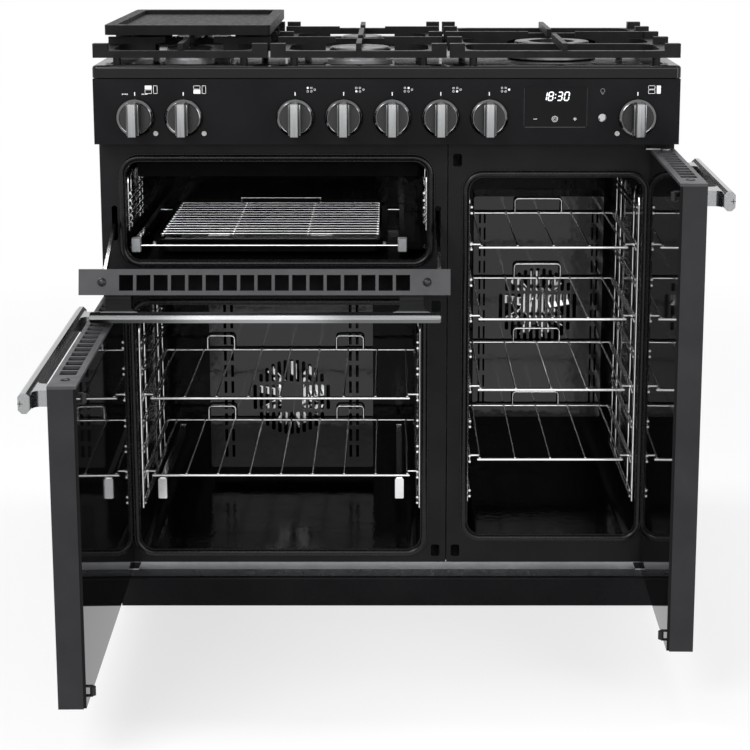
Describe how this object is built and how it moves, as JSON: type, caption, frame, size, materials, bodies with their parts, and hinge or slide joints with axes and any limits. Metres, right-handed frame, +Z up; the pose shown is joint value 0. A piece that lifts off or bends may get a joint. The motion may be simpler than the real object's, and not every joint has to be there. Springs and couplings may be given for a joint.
{
  "type": "range cooker",
  "caption": "Free-standing range cooker with a gas hob, a grill compartment over a side-opening oven and a tall oven beside them; shown with every door open.",
  "frame": {"origin": "on the floor under the middle of the body", "axes": "X to the right seen from the front, Y to the back, Z up"},
  "size_m": [0.978, 1.1257, 0.9585],
  "materials": {
    "enamel": "gloss vitreous enamel",
    "powder": "satin powder coat",
    "panel_black": "satin black",
    "galvanised": "matt zinc",
    "cavity_enamel": "gloss vitreous enamel",
    "cast": "matt enamel",
    "bar": "brushed",
    "chrome": "polished",
    "wire": "bright",
    "cap_plastic": "matt",
    "burner_alloy": "cast",
    "burner_cap": "semi-gloss enamel",
    "glass": "tinted",
    "display": "gloss",
    "lens": "clear",
    "seal": "matt",
    "element": "oxidised",
    "brass": "dull",
    "steel": "plain"
  },
  "bodies": {
    "body": {"side_panels": "powder", "back_panel": "galvanised", "chassis_base": "galvanised", "plinth": "powder", "front_frame_left": "powder", "front_frame_right": "powder", "hob_tray": "enamel", "control_panel": "panel_black", "clock_module": "display", "indicator_lenses": "lens", "grill_cavity": "cavity_enamel", "oven_cavity_left": "cavity_enamel", "oven_cavity_tall": "cavity_enamel", "door_seals": "seal", "grill_element": "element", "fan_covers": "cavity_enamel", "shelf_racks": "wire", "burner_bases": "burner_alloy", "burner_caps": "burner_cap", "hinge_brackets": "steel", "fan_motors": "steel", "taps_and_switches": "brass"},
    "support_left": {"pan_support_left": "cast"},
    "griddle": {"griddle": "cast"},
    "support_centre": {"pan_support_centre": "cast"},
    "support_right": {"pan_support_right": "cast"},
    "knob_grill": {"knob_grill": "chrome"},
    "knob_left_oven": {"knob_left_oven": "chrome"},
    "knob_gas_1": {"knob_gas_1": "chrome"},
    "knob_gas_2": {"knob_gas_2": "chrome"},
    "knob_gas_3": {"knob_gas_3": "chrome"},
    "knob_gas_4": {"knob_gas_4": "chrome"},
    "knob_gas_5": {"knob_gas_5": "chrome"},
    "knob_tall_oven": {"knob_tall_oven": "chrome"},
    "light_button": {"light_button": "chrome"},
    "tall_shelf_1": {"tall_shelf_1": "wire"},
    "tall_shelf_2": {"tall_shelf_2": "wire"},
    "tall_shelf_3": {"tall_shelf_3": "wire"},
    "tall_shelf_4": {"tall_shelf_4": "wire"},
    "left_shelf_1": {"left_shelf_1": "wire"},
    "left_shelf_2": {"left_shelf_2": "wire", "left_runner": "wire"},
    "grill_cradle": {"grill_cradle": "wire"},
    "grill_pan": {"grill_pan": "cavity_enamel"},
    "grill_trivet": {"grill_trivet": "wire"},
    "fan_left": {"fan_left": "burner_alloy"},
    "fan_tall": {"fan_tall": "burner_alloy"},
    "left_door": {"door_left": "powder", "glass_left": "glass", "trim_left": "panel_black", "handle_left": "bar"},
    "tall_door": {"door_tall": "powder", "glass_tall": "glass", "trim_tall": "panel_black", "handle_tall": "bar"},
    "grill_door": {"door_grill": "powder", "glass_grill": "glass", "trim_grill": "panel_black", "handle_grill": "bar"},
    "grill_arms": {"grill_hinge_arms": "steel"}
  },
  "joints": [
    {"name": "support_left_lift", "type": "slide", "parent": "body", "child": "support_left", "axis": [0, 0, 1], "range_m": [0, 0.05]},
    {"name": "griddle_lift", "type": "slide", "parent": "support_left", "child": "griddle", "axis": [0, 0, 1], "range_m": [0, 0.05]},
    {"name": "support_centre_lift", "type": "slide", "parent": "body", "child": "support_centre", "axis": [0, 0, 1], "range_m": [0, 0.05]},
    {"name": "support_right_lift", "type": "slide", "parent": "body", "child": "support_right", "axis": [0, 0, 1], "range_m": [0, 0.05]},
    {"name": "knob_grill_turn", "type": "hinge", "parent": "body", "child": "knob_grill", "pos_m": [-0.386, -0.301, 0.8255], "axis": [0, 1, 0], "range_deg": [-150, 150]},
    {"name": "knob_left_oven_turn", "type": "hinge", "parent": "body", "child": "knob_left_oven", "pos_m": [-0.3116, -0.301, 0.8255], "axis": [0, 1, 0], "range_deg": [0, 290]},
    {"name": "knob_gas_1_turn", "type": "hinge", "parent": "body", "child": "knob_gas_1", "pos_m": [-0.1402, -0.301, 0.8255], "axis": [0, -1, 0], "range_deg": [0, 210]},
    {"name": "knob_gas_2_turn", "type": "hinge", "parent": "body", "child": "knob_gas_2", "pos_m": [-0.0658, -0.301, 0.8255], "axis": [0, -1, 0], "range_deg": [0, 210]},
    {"name": "knob_gas_3_turn", "type": "hinge", "parent": "body", "child": "knob_gas_3", "pos_m": [0.0086, -0.301, 0.8255], "axis": [0, -1, 0], "range_deg": [0, 210]},
    {"name": "knob_gas_4_turn", "type": "hinge", "parent": "body", "child": "knob_gas_4", "pos_m": [0.083, -0.301, 0.8255], "axis": [0, -1, 0], "range_deg": [0, 210]},
    {"name": "knob_gas_5_turn", "type": "hinge", "parent": "body", "child": "knob_gas_5", "pos_m": [0.1574, -0.301, 0.8255], "axis": [0, -1, 0], "range_deg": [0, 210]},
    {"name": "knob_tall_oven_turn", "type": "hinge", "parent": "body", "child": "knob_tall_oven", "pos_m": [0.385, -0.301, 0.8255], "axis": [0, 1, 0], "range_deg": [0, 290]},
    {"name": "light_button_press", "type": "slide", "parent": "body", "child": "light_button", "axis": [0, 1, 0], "range_m": [0, 0.0025], "stiffness_N_per_m": 300},
    {"name": "tall_shelf_1_slide", "type": "slide", "parent": "body", "child": "tall_shelf_1", "axis": [0, 1, 0], "range_m": [-0.3, 0]},
    {"name": "tall_shelf_2_slide", "type": "slide", "parent": "body", "child": "tall_shelf_2", "axis": [0, 1, 0], "range_m": [-0.3, 0]},
    {"name": "tall_shelf_3_slide", "type": "slide", "parent": "body", "child": "tall_shelf_3", "axis": [0, 1, 0], "range_m": [-0.3, 0]},
    {"name": "tall_shelf_4_slide", "type": "slide", "parent": "body", "child": "tall_shelf_4", "axis": [0, 1, 0], "range_m": [-0.3, 0]},
    {"name": "left_shelf_1_slide", "type": "slide", "parent": "body", "child": "left_shelf_1", "axis": [0, 1, 0], "range_m": [-0.3, 0]},
    {"name": "left_shelf_2_slide", "type": "slide", "parent": "body", "child": "left_shelf_2", "axis": [0, 1, 0], "range_m": [-0.3, 0]},
    {"name": "grill_cradle_slide", "type": "slide", "parent": "body", "child": "grill_cradle", "axis": [0, 1, 0], "range_m": [-0.06, 0]},
    {"name": "grill_pan_lift", "type": "slide", "parent": "grill_cradle", "child": "grill_pan", "axis": [0, 0, 1], "range_m": [0, 0.03]},
    {"name": "grill_trivet_lift", "type": "slide", "parent": "grill_pan", "child": "grill_trivet", "axis": [0, 0, 1], "range_m": [0, 0.03]},
    {"name": "fan_left_spin", "type": "hinge", "parent": "body", "child": "fan_left", "pos_m": [-0.17338, 0.12, 0.26886], "axis": [0, 1, 0], "continuous": true},
    {"name": "fan_tall_spin", "type": "hinge", "parent": "body", "child": "fan_tall", "pos_m": [0.26637, 0.12, 0.437], "axis": [0, 1, 0], "continuous": true},
    {"name": "left_door_hinge", "type": "hinge", "parent": "body", "child": "left_door", "pos_m": [-0.432, -0.284, 0.314], "axis": [0, 0, 1], "range_deg": [-6, 89]},
    {"name": "tall_door_hinge", "type": "hinge", "parent": "body", "child": "tall_door", "pos_m": [0.432, -0.284, 0.43], "axis": [0, 0, -1], "range_deg": [-6, 89]},
    {"name": "grill_door_hinge", "type": "hinge", "parent": "body", "child": "grill_door", "pos_m": [-0.177, -0.285, 0.56], "axis": [-1, 0, 0], "range_deg": [0, 78]},
    {"name": "grill_arm_pivot", "type": "hinge", "parent": "grill_door", "child": "grill_arms", "pos_m": [-0.177, -0.3926, 0.58287], "axis": [1, 0, 0], "range_deg": [0, 51]}
  ],
  "couplings": [
    {"joint": "grill_arm_pivot", "follows": "grill_door_hinge", "ratio": 0.65376}
  ]
}
